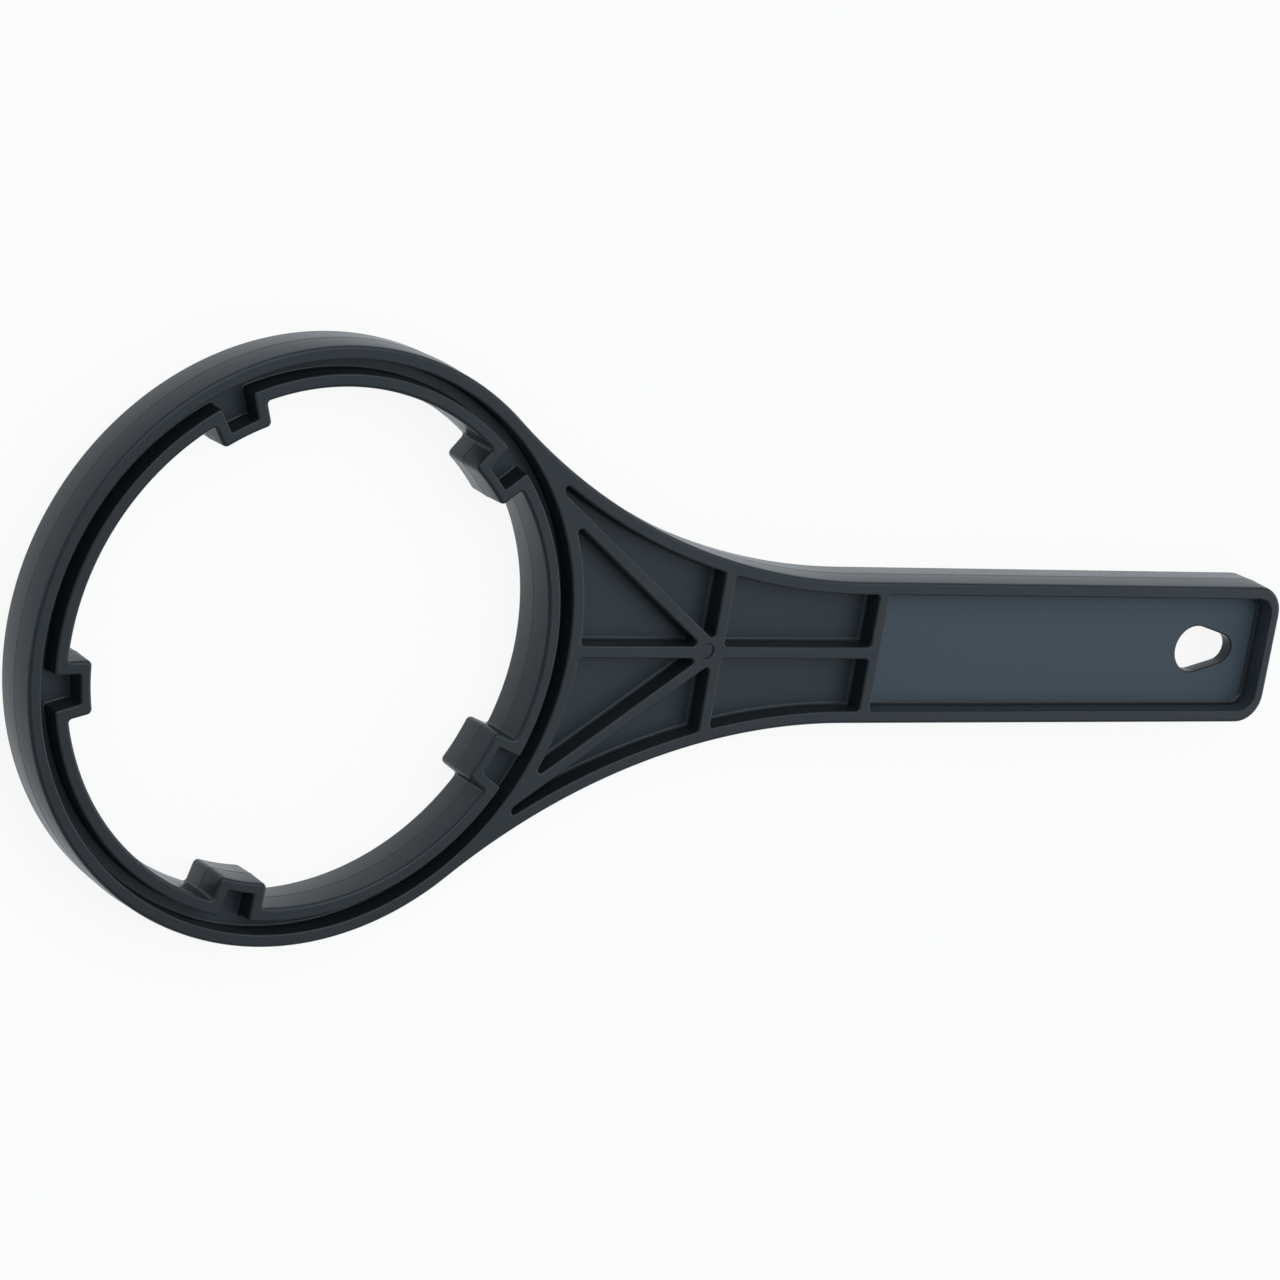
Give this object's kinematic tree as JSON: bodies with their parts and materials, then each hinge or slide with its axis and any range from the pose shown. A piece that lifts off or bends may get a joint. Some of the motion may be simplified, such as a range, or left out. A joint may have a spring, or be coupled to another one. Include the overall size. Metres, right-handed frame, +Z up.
{
  "type": "filter housing wrench",
  "caption": "Flat moulded plastic wrench: a ring with inward lugs that grips the ribs of a filter housing's bowl, on a ribbed neck and a flat handle with a hang hole.",
  "frame": {"origin": "the ring's axis, at the back face that the wrench lies on", "axes": "+X from the ring's axis along the handle, +Z up through the ring to the front face"},
  "size_m": [0.3349, 0.1364, 0.0134],
  "materials": {
    "moulded_plastic": "satin moulded charcoal plastic"
  },
  "bodies": {
    "root": {"wrench": "moulded_plastic"}
  },
  "joints": []
}
